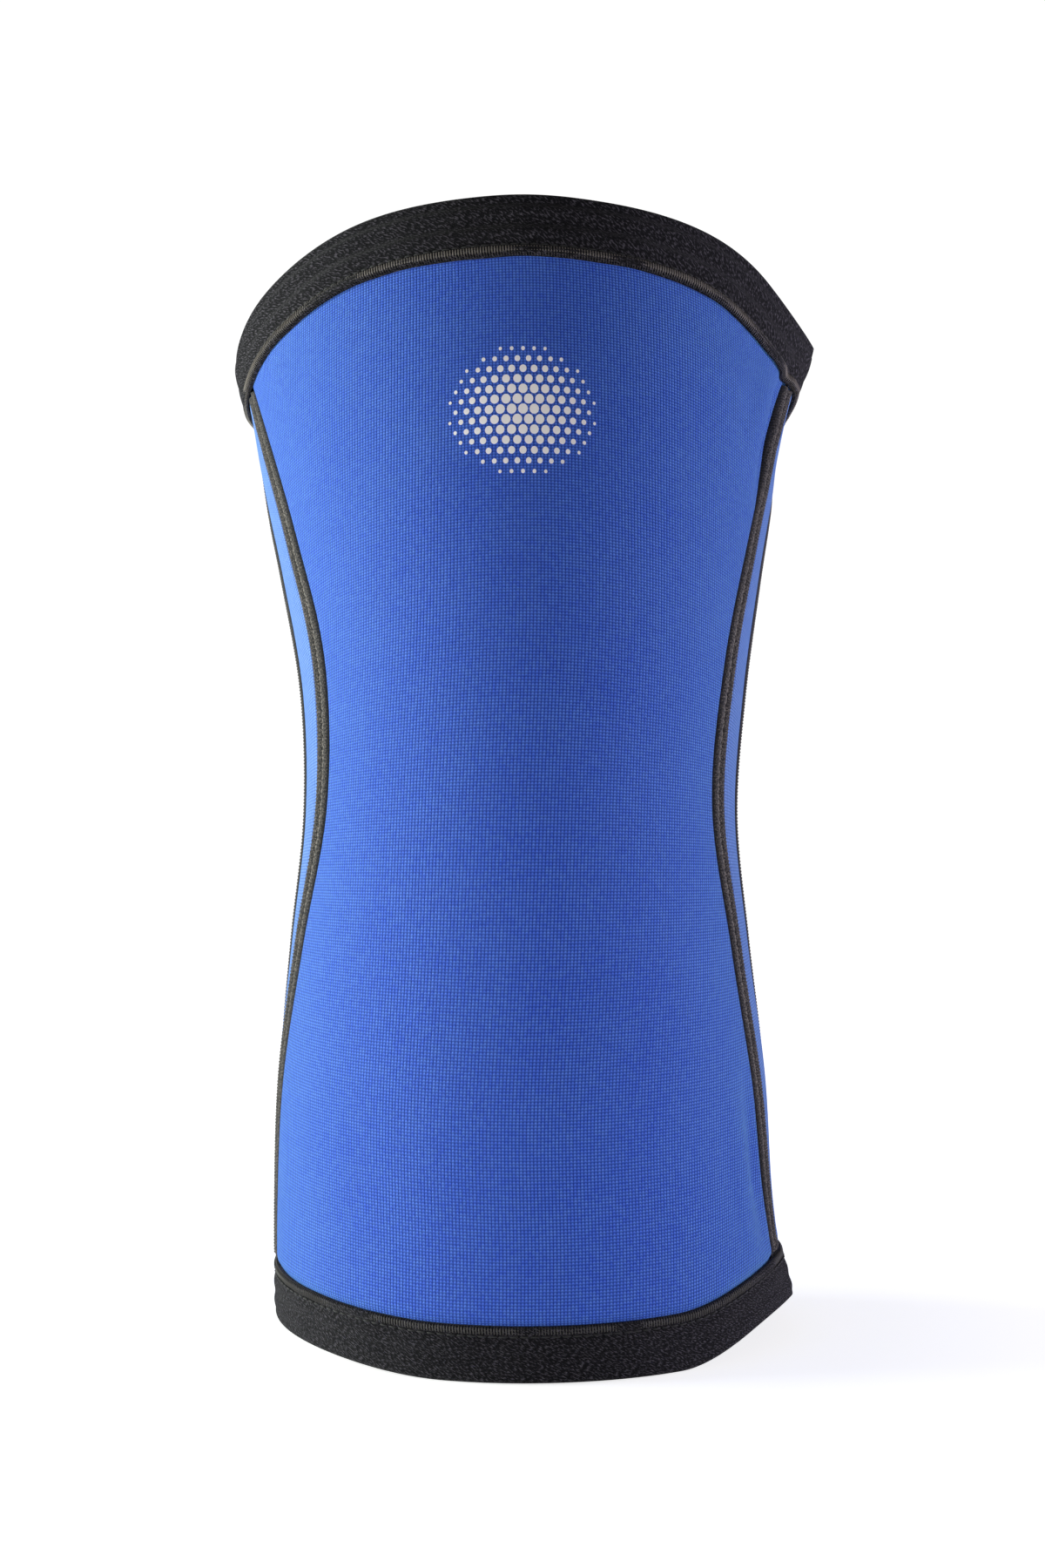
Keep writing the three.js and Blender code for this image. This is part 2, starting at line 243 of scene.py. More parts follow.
def lofted_cloth(name, loops, uv, ring, material_of=None):
    """A closed mesh through loops of points. An open run is a strip, as wide inside as outside."""
    count, size = loops.shape[:2]
    runs = count if ring else count - 1
    i, j = np.meshgrid(np.arange(runs), np.arange(size), indexing="ij")
    corners = [(i, j), (i, j + 1), (i + 1, j + 1), (i + 1, j)]
    faces = np.stack([(a % count) * size + b % size for a, b in corners], axis=-1).reshape(-1, 4)
    face_uv = np.stack([uv[a, b] for a, b in corners], axis=-2).reshape(-1, 4, 2)
    column = j.ravel()
    if not ring:
        j = np.arange(size // 2 - 1)
        lower = np.stack([j, size - 1 - j, size - 2 - j, j + 1], axis=-1)
        upper = (count - 1) * size + lower[:, ::-1]
        faces = np.concatenate([faces, lower, upper])
        cap_uv = np.concatenate([uv[0, lower], uv[-1, lower[:, ::-1]]])
        face_uv = np.concatenate([face_uv, cap_uv])
        column = np.concatenate([column, np.full(2 * len(j), size - 1)])
    mesh = bpy.data.meshes.new(name)
    mesh.from_pydata(loops.reshape(-1, 3).tolist(), [], faces.tolist())
    mesh.uv_layers.new(name="cloth").data.foreach_set("uv", face_uv.ravel())
    mesh.shade_smooth()
    mesh.set_sharp_from_angle(angle=np.radians(SHARP_ANGLE))
    if material_of is not None:
        mesh.polygons.foreach_set("material_index", material_of(column))
    return add_object(name, mesh)


def lengths_along(points):
    """Running length in metres down the first axis of a grid of points."""
    steps = np.linalg.norm(np.diff(points, axis=0), axis=-1)
    return np.concatenate([np.zeros_like(steps[:1]), np.cumsum(steps, axis=0)])


# The panels end inside the fold of a band. Columns of points lie close together beside a seam.
PANEL_ROW_STEP = 1.8
PANEL_COLUMN_STEP = 2.4
EDGE_COLUMNS = (EDGE_GAP, 0.6, 1.2, 1.8, 2.3, 2.8, 3.3, 3.8, 4.3, 4.8, 5.5, 6.2, 6.9, 7.6, 8.3)
HEM_FOLD = 1.5


def neoprene_panel(name, start_seam, end_seam, width, fabric):
    """A panel between two seams, with columns close together where its edges roll in."""
    rows = round((SLEEVE_LENGTH - 2 * HEM_FOLD) / PANEL_ROW_STEP)
    t = np.linspace(HEM_FOLD, SLEEVE_LENGTH - HEM_FOLD, rows)[:, None] / SLEEVE_LENGTH
    start, end = seam_angle(t, start_seam), seam_angle(t, end_seam)
    if start_seam == "back_left":
        start = start - 2 * np.pi
    edge = np.array(EDGE_COLUMNS)
    first = angle_past(t, start, edge)
    last = angle_past(t, end, -edge[::-1])
    middle = np.linspace(0, 1, round(width / PANEL_COLUMN_STEP))[1:-1]
    between = first[:, -1:] + (last[:, :1] - first[:, -1:]) * middle
    angles = np.concatenate([first, between, last], axis=1)
    roll = np.zeros(angles.shape[1])
    roll[: len(edge)] = edge_roll(start_seam, "after", edge)
    roll[-len(edge):] = edge_roll(end_seam, "before", edge[::-1])
    outer = skin(t, angles, -roll)
    inner = skin(t, angles, -NEOPRENE_THICKNESS)
    columns = angles.shape[1]
    across = lengths_along(outer.swapaxes(0, 1)).T
    across = across - across[:, columns // 2, None]
    up = np.repeat(lengths_along(outer)[:, columns // 2, None], columns, axis=1)
    uv = np.stack([across, up], axis=-1)
    loops = np.concatenate([outer, inner[:, ::-1]], axis=1)
    loop_uv = np.concatenate([uv, uv[:, ::-1], uv[:, :1]], axis=1)

    def material_of(column):
        facing_out = column < columns - 1
        facing_in = (column >= columns) & (column < 2 * columns - 1)
        return np.where(facing_out, 0, np.where(facing_in, 1, 2))

    panel = lofted_cloth(name, loops, loop_uv, False, material_of)
    for material in (fabric, lining, foam_core):
        panel.data.materials.append(material)
    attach(panel, "root")
    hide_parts(name)


def add_node(tree, kind, inputs=None, **settings):
    """A shader node, whose inputs are values or the outputs of other nodes."""
    node = tree.nodes.new(kind)
    for name, value in settings.items():
        setattr(node, name, value)
    for key, value in (inputs or {}).items():
        if isinstance(value, bpy.types.NodeSocket):
            tree.links.new(value, node.inputs[key])
        else:
            node.inputs[key].default_value = value
    return node


def add_math(tree, operation, *values):
    """The result of an operation on values or on the outputs of other nodes."""
    return add_node(tree, "ShaderNodeMath", dict(enumerate(values)), operation=operation).outputs[0]


def add_mix(tree, factor, low, high):
    """A mix of two colours. The node's colour sockets are numbered 6 and 7."""
    return add_node(tree, "ShaderNodeMix", {0: factor, 6: low, 7: high}, data_type="RGBA").outputs[2]


def add_range(tree, value, start, end, low=0.0, high=1.0):
    """A value that runs from low to high while another one runs from start to end."""
    return add_node(tree, "ShaderNodeMapRange", {
        "Value": value, "From Min": start, "From Max": end, "To Min": low, "To Max": high,
    }).outputs[0]


def add_relief(tree, shader, height, strength, distance):
    """Fine bumps on a shader's surface, as high as the distance in metres."""
    bump = add_node(tree, "ShaderNodeBump", {"Height": height, "Strength": strength, "Distance": distance})
    tree.links.new(bump.outputs[0], shader.inputs["Normal"])


def cloth_place(tree):
    """The place on a piece of cloth in metres, as the outputs X and Y."""
    place = add_node(tree, "ShaderNodeUVMap", uv_map="cloth").outputs[0]
    return add_node(tree, "ShaderNodeSeparateXYZ", {0: place}).outputs


def new_group(name, inputs, outputs):
    """A shader node group with float inputs and outputs, with its two end nodes."""
    group = bpy.data.node_groups.new(name, "ShaderNodeTree")
    for socket, value in inputs.items():
        made = group.interface.new_socket(socket, in_out="INPUT", socket_type="NodeSocketFloat")
        made.default_value = value
    for socket in outputs:
        group.interface.new_socket(socket, in_out="OUTPUT", socket_type="NodeSocketFloat")
    return group, group.nodes.new("NodeGroupInput"), group.nodes.new("NodeGroupOutput")


RIB_ROUNDNESS = 2.4
COURSE_DEPTH = 0.34


def jersey_knit_group():
    """Columns of small V stitches, as on the face of a jersey, and a mask of the gaps between them for
    painted shade.
    """
    group, given, out = new_group(
        "Jersey knit",
        {"Rib Pitch": 0.00088, "Course Pitch": 0.0008, "Slant": 0.3},
        ("Height", "Gap Shade", "Stitch"),
    )
    place = cloth_place(group)
    column = add_math(group, "DIVIDE", place["X"], given.outputs["Rib Pitch"])
    rib = add_math(group, "FRACT", column)
    from_middle = add_math(group, "ABSOLUTE", add_math(group, "MULTIPLY_ADD", rib, 2.0, -1.0))
    course = add_math(group, "DIVIDE", place["Y"], given.outputs["Course Pitch"])
    slanted = add_math(group, "MULTIPLY_ADD", from_middle, given.outputs["Slant"], course)
    wave = add_math(group, "COSINE", add_math(group, "MULTIPLY", slanted, 2 * np.pi))
    loop = add_math(group, "MULTIPLY_ADD", wave, COURSE_DEPTH, 1 - COURSE_DEPTH)
    rounded = add_math(group, "SUBTRACT", 1.0, add_math(group, "POWER", from_middle, RIB_ROUNDNESS))
    height = add_math(group, "MULTIPLY", rounded, loop)
    cell = add_node(group, "ShaderNodeCombineXYZ", {
        "X": add_math(group, "FLOOR", column), "Y": add_math(group, "FLOOR", slanted),
    })
    stitch = add_node(group, "ShaderNodeTexWhiteNoise", {"Vector": cell.outputs[0]}, noise_dimensions="2D")
    group.links.new(height, out.inputs["Height"])
    group.links.new(add_math(group, "SUBTRACT", 1.0, height), out.inputs["Gap Shade"])
    group.links.new(stitch.outputs["Value"], out.inputs["Stitch"])
    return group


def fibre_speckle_group():
    """Fine light and dark flecks of loose fibre ends, and a slow cloudiness over the whole cloth."""
    group, given, out = new_group(
        "Fibre speckle", {"Fleck Scale": 3000.0, "Cloud Scale": 45.0}, ("Fleck", "Cloud")
    )
    place = add_node(group, "ShaderNodeNewGeometry").outputs["Position"]
    fleck = add_node(group, "ShaderNodeTexNoise", {
        "Vector": place, "Scale": given.outputs["Fleck Scale"], "Detail": 2.0,
    })
    cloud = add_node(group, "ShaderNodeTexNoise", {
        "Vector": place, "Scale": given.outputs["Cloud Scale"], "Detail": 3.0,
    })
    group.links.new(fleck.outputs[0], out.inputs["Fleck"])
    group.links.new(cloud.outputs[0], out.inputs["Cloud"])
    return group


jersey_knit = jersey_knit_group()
fibre_speckle = fibre_speckle_group()


def new_material(name):
    """A material with its node tree and its shader."""
    material = bpy.data.materials.new(name)
    material.use_nodes = True
    return material, material.node_tree, material.node_tree.nodes["Principled BSDF"]


CLOUD_RANGE = (0.3, 0.7)
CLOUD_SHARE = (0.08, 0.2)
LIGHT_FIBRE_SHARE = 0.6
FUZZ_HEIGHT = 0.35
KNIT_RELIEF = 0.0002
SHEEN_TINT = (0.36, 0.95, 0.85, 1)


def jersey_material(name, thread, gap_shade, light, rib_pitch, course_pitch, bump, sheen):
    """A dyed jersey face: thread colour, with painted shade darker between the ribs, and light flecks."""
    material, tree, shader = new_material(name)
    knit = add_node(tree, "ShaderNodeGroup", node_tree=jersey_knit)
    knit.inputs["Rib Pitch"].default_value = rib_pitch
    knit.inputs["Course Pitch"].default_value = course_pitch
    speckle = add_node(tree, "ShaderNodeGroup", node_tree=fibre_speckle)
    cloud = add_range(tree, speckle.outputs["Cloud"], *CLOUD_RANGE, *CLOUD_SHARE)
    worn = add_mix(tree, cloud, thread, light)
    light_fibres = add_math(tree, "MULTIPLY", speckle.outputs["Fleck"], LIGHT_FIBRE_SHARE)
    uneven = add_math(tree, "MULTIPLY", knit.outputs["Stitch"], light_fibres)
    flecked = add_mix(tree, uneven, worn, light)
    # Painted shade: the colour is mixed towards the darker gap colour between the ribs and courses.
    colour = add_mix(tree, knit.outputs["Gap Shade"], flecked, gap_shade)
    tree.links.new(colour, shader.inputs["Base Color"])
    fuzz = add_math(tree, "MULTIPLY_ADD", speckle.outputs["Fleck"], FUZZ_HEIGHT, knit.outputs["Height"])
    add_relief(tree, shader, fuzz, strength=bump, distance=KNIT_RELIEF)
    shader.inputs["Roughness"].default_value = 0.75
    shader.inputs["Specular IOR Level"].default_value = 0.2
    shader.inputs["Sheen Weight"].default_value = sheen
    shader.inputs["Sheen Roughness"].default_value = 0.4
    shader.inputs["Sheen Tint"].default_value = SHEEN_TINT
    return material


BLUE_THREAD = (0.052, 0.14, 0.85, 1)
# The gap colour is painted shade in the hollows between the knit's ribs.
BLUE_GAP_SHADE = (0.009, 0.026, 0.27, 1)
BLUE_LIGHT = (0.2, 0.44, 1.0, 1)
front_jersey = jersey_material(
    "blue ribbed jersey", BLUE_THREAD, BLUE_GAP_SHADE, BLUE_LIGHT,
    rib_pitch=0.00088, course_pitch=0.0008, bump=1.0, sheen=0.45,
)
LINING_THREAD = (0.03, 0.03, 0.034, 1)
# The gap colour is painted shade in the hollows between the knit's ribs.
LINING_GAP_SHADE = (0.008, 0.008, 0.01, 1)
LINING_LIGHT = (0.07, 0.07, 0.078, 1)
lining = jersey_material(
    "black lining jersey", LINING_THREAD, LINING_GAP_SHADE, LINING_LIGHT,
    rib_pitch=0.0007, course_pitch=0.0006, bump=0.5, sheen=0.1,
)
# The cell colour is painted shade in the hollow of each foam cell, the wall colour is the foam between the
# cells.
FOAM_CELL_SHADE = (0.006, 0.006, 0.007, 1)
FOAM_WALL = (0.03, 0.03, 0.032, 1)


def foam_material():
    """Cut edge of the black foam, with fine closed cells whose hollows are darkened with painted shade."""
    material, tree, shader = new_material("black neoprene foam")
    cells = add_node(tree, "ShaderNodeTexVoronoi", {"Scale": 4000.0})
    from_middle = cells.outputs["Distance"]
    # Painted shade: darker towards the middle of each cell.
    tree.links.new(add_mix(tree, from_middle, FOAM_CELL_SHADE, FOAM_WALL), shader.inputs["Base Color"])
    add_relief(tree, shader, from_middle, strength=0.5, distance=0.0002)
    shader.inputs["Roughness"].default_value = 0.85
    return material


foam_core = foam_material()
FRONT_WIDTH = 215
neoprene_panel("front_panel", "front_left", "front_right", FRONT_WIDTH, front_jersey)

# Side gussets
# Two narrow panels of the same foam in a lighter, plain jersey, sewn in between front and back so that
# the sleeve widens towards the thigh.
PALE_THREAD = (0.15, 0.3, 0.78, 1)
# The gap colour is painted shade in the hollows between the knit's ribs.
PALE_GAP_SHADE = (0.04, 0.09, 0.35, 1)
PALE_LIGHT = (0.34, 0.54, 0.95, 1)
side_jersey = jersey_material(
    "pale blue plain jersey", PALE_THREAD, PALE_GAP_SHADE, PALE_LIGHT,
    rib_pitch=0.0012, course_pitch=0.0008, bump=0.8, sheen=0.12,
)
GUSSET_WIDTH = 32
neoprene_panel("right_gusset", "front_right", "back_right", GUSSET_WIDTH, side_jersey)
neoprene_panel("left_gusset", "back_left", "front_left", GUSSET_WIDTH, side_jersey)

# Back panel
# The blue sheet behind the knee, cut from the same ribbed jersey as the front. It closes the tube.
BACK_WIDTH = 190
neoprene_panel("back_panel", "back_right", "back_left", BACK_WIDTH, front_jersey)

# Seam cover tapes
# Black stretch tapes over the four seams. Each is stitched down with an overedge stitch, so that it has
# two ridges, a groove between them and scalloped edges.
TAPE_HALF_WIDTH = 3.2
TAPE_THICKNESS = 1.15
TAPE_STITCH = 0.9
TAPE_ROW_STEP = 0.225
SCALLOP = 0.24
THREAD_RELIEF = 0.14
THREAD_SLANT = 3
THREAD_FADE = 0.25
RIDGE_PLACE = 0.52
GROOVE_DEPTH = 0.6
EDGE_SQUARENESS = 6
TAPE_LIFT = 0.1
TAPE_SINK = 0.05
TAPE_BOTTOM = 16.3
TAPE_TOP = 258.2
TAPE_SIDE = np.array([0, 0.1, 0.22, 0.36, 0.5, 0.64, 0.78, 0.9, 0.97, 1])
TAPE_ACROSS = np.append(-TAPE_SIDE[:0:-1], TAPE_SIDE)


def seam_tape(seam):
    """A tape that fills the channel over a seam, from one band to the other."""
    rows = round((TAPE_TOP - TAPE_BOTTOM) / TAPE_ROW_STEP)
    distance = np.linspace(TAPE_BOTTOM, TAPE_TOP, rows)[:, None]
    t = distance / SLEEVE_LENGTH
    share = np.abs(TAPE_ACROSS)
    stitch = 2 * np.pi * distance / TAPE_STITCH
    half_width = TAPE_HALF_WIDTH + SCALLOP * np.cos(stitch)
    across = TAPE_ACROSS * half_width
    angles = angle_past(t, seam_angle(t, seam), across)
    depths = ROLL_DEPTHS[seam]
    bed = -(depths["before"] + (depths["after"] - depths["before"]) * (TAPE_ACROSS + 1) / 2)
    ridge = 1 - GROOVE_DEPTH * np.minimum(1, np.abs(share - RIDGE_PLACE) / RIDGE_PLACE) ** 2
    rounded = np.sqrt(np.maximum(0, 1 - share**EDGE_SQUARENESS))
    faded = np.minimum(1, (1 - share) / THREAD_FADE)
    threads = THREAD_RELIEF * np.cos(stitch + THREAD_SLANT * TAPE_ACROSS) * faded
    top = bed + TAPE_LIFT + TAPE_THICKNESS * ridge * rounded + threads
    outer = skin(t, angles, top)
    inner = skin(t, angles, np.broadcast_to(bed - TAPE_SINK, top.shape))
    loops = np.concatenate([outer, inner[:, ::-1]], axis=1)
    uv = np.stack(np.broadcast_arrays(across * MM, distance * MM), axis=-1)
    loop_uv = np.concatenate([uv, uv[:, ::-1], uv[:, :1]], axis=1)
    tape = lofted_cloth(f"{seam}_tape", loops, loop_uv, False)
    tape.data.materials.append(tape_thread)
    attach(tape, "root")
    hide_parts(f"{seam}_tape")


MIDDLE_STITCH = 1.5
MIDDLE_THREAD_RADIUS = 0.2
GROOVE_LEVEL = 0.45
ZIGZAG_WIDTH = 0.7

# The rings of points along a stitch: the share of its length and the share of its radius
THREAD_SIDES = 6
DIRECTION_PROBE = 0.05
THREAD_RINGS = ((0.0, 0.3), (0.12, 0.85), (0.5, 1.0), (0.88, 0.85), (1.0, 0.3))


def thread_stitches(name, path, radius, material):
    """Small rounded threads on the cloth. path gives their middle points, for a share of their length and
    a lift off the cloth in millimetres."""
    turn = np.linspace(0, 2 * np.pi, THREAD_SIDES, endpoint=False)[:, None]
    rings = []
    for share, swell in THREAD_RINGS:
        middle = path(share, 0)
        along = path(share + DIRECTION_PROBE, 0) - path(share - DIRECTION_PROBE, 0)
        outward = path(share, 1) - middle
        side = np.cross(along, outward)
        outward = outward / np.linalg.norm(outward, axis=-1, keepdims=True)
        side = side / np.linalg.norm(side, axis=-1, keepdims=True)
        round_middle = np.cos(turn) * outward[:, None] + np.sin(turn) * side[:, None]
        rings.append(middle[:, None] + radius * swell * MM * round_middle)
    points = np.stack(rings, axis=1)
    stitches, size = len(points), len(THREAD_RINGS) * THREAD_SIDES
    ring, step = np.meshgrid(np.arange(len(THREAD_RINGS) - 1), np.arange(THREAD_SIDES), indexing="ij")
    here, following = ring * THREAD_SIDES + step, ring * THREAD_SIDES + (step + 1) % THREAD_SIDES
    corners = [here, following, following + THREAD_SIDES, here + THREAD_SIDES]
    sides = np.stack(corners, axis=-1).reshape(-1, 4)
    ends = np.array([range(THREAD_SIDES - 1, -1, -1), range(size - THREAD_SIDES, size)])
    starts = np.arange(stitches)[:, None, None] * size
    faces = (starts + sides).reshape(-1, 4).tolist() + (starts + ends).reshape(-1, THREAD_SIDES).tolist()
    mesh = bpy.data.meshes.new(name)
    mesh.from_pydata(points.reshape(-1, 3).tolist(), [], faces)
    mesh.shade_smooth()
    mesh.materials.append(material)
    piece = add_object(name, mesh)
    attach(piece, "root")


def middle_thread(seam):
    """A zigzag of pale thread in the groove of a tape."""
    count = int((TAPE_TOP - TAPE_BOTTOM) / MIDDLE_STITCH)
    first = TAPE_BOTTOM + np.arange(count) * MIDDLE_STITCH
    way = np.where(np.arange(count) % 2, 1, -1)
    depths = ROLL_DEPTHS[seam]
    bed = -(depths["before"] + depths["after"]) / 2
    height = bed + TAPE_LIFT + GROOVE_LEVEL * TAPE_THICKNESS

    def path(share, lift):
        t = (first + share * MIDDLE_STITCH) / SLEEVE_LENGTH
        across = way * (share - 0.5) * ZIGZAG_WIDTH
        return skin(t, angle_past(t, seam_angle(t, seam), across), height + lift)

    thread_stitches(f"{seam}_tape_thread", path, MIDDLE_THREAD_RADIUS, pale_thread)


# The grey tips fade out between these distances from a tape's middle, leaving painted shade at its edges
TAPE_FACE = 2.0
TAPE_EDGE_SHADE = 2.9
TAPE_DARK = (0.004, 0.004, 0.005, 1)
TAPE_TIPS = (0.15, 0.127, 0.113, 1)
TIPS_RANGE = (0.47, 0.68)


def tape_material():
    """Black spun thread with brownish grey fibre tips, and painted shade along its edges."""
    material, tree, shader = new_material("black overedge thread")
    speckle = add_node(tree, "ShaderNodeGroup", node_tree=fibre_speckle)
    speckle.inputs["Fleck Scale"].default_value = 2600.0
    tips = add_range(tree, speckle.outputs["Fleck"], *TIPS_RANGE)
    across = add_math(tree, "ABSOLUTE", cloth_place(tree)["X"])
    # Painted shade: there are no tips near the edges, so the edges stay plain black.
    inside = add_range(tree, across, TAPE_EDGE_SHADE * MM, TAPE_FACE * MM)
    tips_off_edge_shade = add_math(tree, "MULTIPLY", tips, inside)
    tree.links.new(add_mix(tree, tips_off_edge_shade, TAPE_DARK, TAPE_TIPS), shader.inputs["Base Color"])
    add_relief(tree, shader, speckle.outputs["Fleck"], strength=0.5, distance=0.00015)
    shader.inputs["Roughness"].default_value = 0.8
    shader.inputs["Specular IOR Level"].default_value = 0.35
    shader.inputs["Sheen Weight"].default_value = 0.1
    return material


def thread_material(name, colour):
    material, _, shader = new_material(name)
    shader.inputs["Base Color"].default_value = colour
    shader.inputs["Roughness"].default_value = 0.7
    return material


tape_thread = tape_material()
pale_thread = thread_material("grey sewing thread", (0.28, 0.25, 0.225, 1))
black_thread = thread_material("black sewing thread", (0.015, 0.015, 0.016, 1))
for seam in ROLL_DEPTHS:
    seam_tape(seam)
    middle_thread(seam)

# Hem bands
# Charcoal knitted elastic, folded over each rim and stitched down on both faces. Outside, its edge is
# turned under into a round lip, with the stitch line in a groove beside it, and soft ridges follow.
BAND_THICKNESS = 1.2
BAND_CLEARANCE = 0.3
BAND_TOP = BAND_CLEARANCE + BAND_THICKNESS
BAND_FOLD_RADIUS = 1.6
BAND_COLUMNS = 480
LIP_WIDTH = 2.1
LIP_TUCK = 0.5
GROOVE_WIDTH = 1.2
GROOVE_PLACE = LIP_WIDTH + GROOVE_WIDTH / 2

# Ridges along a band, from the lip on. They set in within a distance of it and end before the fold.
RIDGE_PITCH = 5.6
FIRST_RIDGE = 5.8
RIDGES_SET_IN = 2
RIDGES_END = (0.5, 3)
LOWER_RELIEF = {"lip": 0.1, "groove": 0.3, "ridge": 0.14}
UPPER_RELIEF = {"lip": 0.4, "groove": 0.6, "ridge": 0.6}
INNER_RELIEF_SHARE = 0.35
OUTER_POINTS = 44
FOLD_POINTS = 9
INNER_POINTS = 20
FOLD_INSET = 0.1


def band_face(up, height, relief):
    """Height of a band's outer face over the flat one, at a distance from the rim."""
    from_edge = height - up
    lip = np.sqrt(np.maximum(0, 1 - ((from_edge - LIP_WIDTH / 2) / (LIP_WIDTH / 2)) ** 2))
    groove = np.exp(-2 * ((from_edge - GROOVE_PLACE) / GROOVE_WIDTH) ** 2)
    body = smooth_step(from_edge, LIP_WIDTH, LIP_WIDTH + RIDGES_SET_IN) * smooth_step(up, *RIDGES_END)
    ridges = body * np.cos(2 * np.pi * (from_edge - FIRST_RIDGE) / RIDGE_PITCH)
    return relief["lip"] * lip - relief["groove"] * groove + relief["ridge"] * ridges


def band_profile(height, relief):
    """Distances from the rim and heights, down the outside, round the fold and up inside, then back."""
    inside = -NEOPRENE_THICKNESS - BAND_TOP
    up = np.linspace(height, BAND_FOLD_RADIUS, OUTER_POINTS)
    turn = np.radians(np.linspace(0, 90, FOLD_POINTS))[1:]
    corner_up = BAND_FOLD_RADIUS * (1 - np.sin(turn))
    corner_in = BAND_FOLD_RADIUS * (1 - np.cos(turn))
    outer = np.stack([up, BAND_TOP + band_face(up, height, relief)], axis=1)
    outer[0, 1] = BAND_TOP - LIP_TUCK
    fold_out = np.stack([corner_up, outer[-1, 1] - corner_in], axis=1)
    fold_in = np.stack([corner_up[::-1], inside + corner_in[::-1]], axis=1)
    inner_up = np.linspace(BAND_FOLD_RADIUS, height, INNER_POINTS)
    inner_face = inside - INNER_RELIEF_SHARE * band_face(inner_up, height, relief)
    inner = np.stack([inner_up, inner_face], axis=1)
    hidden_up = np.array([height, height / 2, BAND_THICKNESS + FOLD_INSET])
    back_in = np.stack([hidden_up, np.full_like(hidden_up, inside + BAND_THICKNESS)], axis=1)
    back_out = np.stack([hidden_up[::-1], np.full_like(hidden_up, BAND_CLEARANCE)], axis=1)
    return np.concatenate([outer, fold_out, fold_in, inner, back_in, back_out])


# Slow waves in a band's faces, with so many crests round the sleeve, which fade out towards the fold
BAND_WAVES = (
    {"crests": 7, "height": 0.12, "start": 0},
    {"crests": 17, "height": 0.1, "start": 1},
    {"crests": 31, "height": 0.06, "start": 2},
)
WAVES_FADE = (2, 6)


def hem_band(name, height, at_upper_rim):
    """A band all round one rim: the profile swept along the skin."""
    profile = band_profile(height, UPPER_RELIEF if at_upper_rim else LOWER_RELIEF)
    if at_upper_rim:
        profile = profile[::-1]
    angles = np.linspace(-np.pi, np.pi, BAND_COLUMNS, endpoint=False)[:, None]
    distance = SLEEVE_LENGTH - profile[:, 0] if at_upper_rim else profile[:, 0]
    wave = sum(row["height"] * np.sin(row["crests"] * angles + row["start"]) for row in BAND_WAVES)
    outside = profile[:, 1] > -NEOPRENE_THICKNESS / 2
    heights = profile[:, 1] + np.where(outside, wave, -wave) * smooth_step(profile[:, 0], *WAVES_FADE)
    loops = skin(distance / SLEEVE_LENGTH, angles, heights)
    around = lengths_along(np.concatenate([loops, loops[:1]]))
    closed = np.concatenate([loops, loops[:, :1]], axis=1)
    down = lengths_along(closed.swapaxes(0, 1))[:, 0]
    middle = profile.shape[0] // 4
    uv = np.stack(np.broadcast_arrays(around[:, middle, None], down), axis=-1)
    band = lofted_cloth(name, loops, uv, True)
    band.data.materials.append(knit_band)
    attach(band, "root")
    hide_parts(name)
    return band


MARK_RANGE = (0.5, 0.66)


def band_grain_group():
    """Short slanting marks of a tight knit."""
    group, given, out = new_group(
        "Slanting knit grain",
        {"Mark Length": 0.0012, "Mark Width": 0.0004, "Slope": 0.6},
        ("Height", "Tips"),
    )
    place = cloth_place(group)
    slope = given.outputs["Slope"]
    along = add_math(group, "MULTIPLY_ADD", place["Y"], slope, place["X"])
    across = add_math(group, "SUBTRACT", place["Y"], add_math(group, "MULTIPLY", place["X"], slope))
    marks = add_node(group, "ShaderNodeCombineXYZ", {
        "X": add_math(group, "DIVIDE", along, given.outputs["Mark Length"]),
        "Y": add_math(group, "DIVIDE", across, given.outputs["Mark Width"]),
    })
    noise = add_node(group, "ShaderNodeTexNoise", {"Vector": marks.outputs[0], "Scale": 1.0, "Detail": 1.5})
    group.links.new(noise.outputs[0], out.inputs["Height"])
    group.links.new(add_range(group, noise.outputs[0], *MARK_RANGE), out.inputs["Tips"])
    return group


band_grain = band_grain_group()
BAND_DARK = (0.004, 0.004, 0.0055, 1)
# The tips colour is partly light fibre tips and partly painted glints on the knit's marks.
BAND_TIPS_AND_GLINTS = (0.132, 0.12, 0.145, 1)
BAND_FUZZ = 0.3


def band_material():
    material, tree, shader = new_material("charcoal knitted elastic")
    grain = add_node(tree, "ShaderNodeGroup", node_tree=band_grain)
    speckle = add_node(tree, "ShaderNodeGroup", node_tree=fibre_speckle)
    speckle.inputs["Fleck Scale"].default_value = 3600.0
    # Painted highlight mixed with real flecks: the light fibre tips on the slanting marks also stand in for
    # glints.
    light = add_math(tree, "MULTIPLY", grain.outputs["Tips"], speckle.outputs["Fleck"])
    tree.links.new(add_mix(tree, light, BAND_DARK, BAND_TIPS_AND_GLINTS), shader.inputs["Base Color"])
    fuzz = add_math(tree, "MULTIPLY_ADD", speckle.outputs["Fleck"], BAND_FUZZ, grain.outputs["Height"])
    add_relief(tree, shader, fuzz, strength=0.9, distance=0.0004)
    shader.inputs["Roughness"].default_value = 0.85
    shader.inputs["Specular IOR Level"].default_value = 0.12
    shader.inputs["Sheen Weight"].default_value = 0.05
    return material


LOWER_BAND_HEIGHT = 16
UPPER_BAND_HEIGHT = 16.5
knit_band = band_material()
lower_band = hem_band("lower_hem_band", LOWER_BAND_HEIGHT, False)
upper_band = hem_band("upper_hem_band", UPPER_BAND_HEIGHT, True)

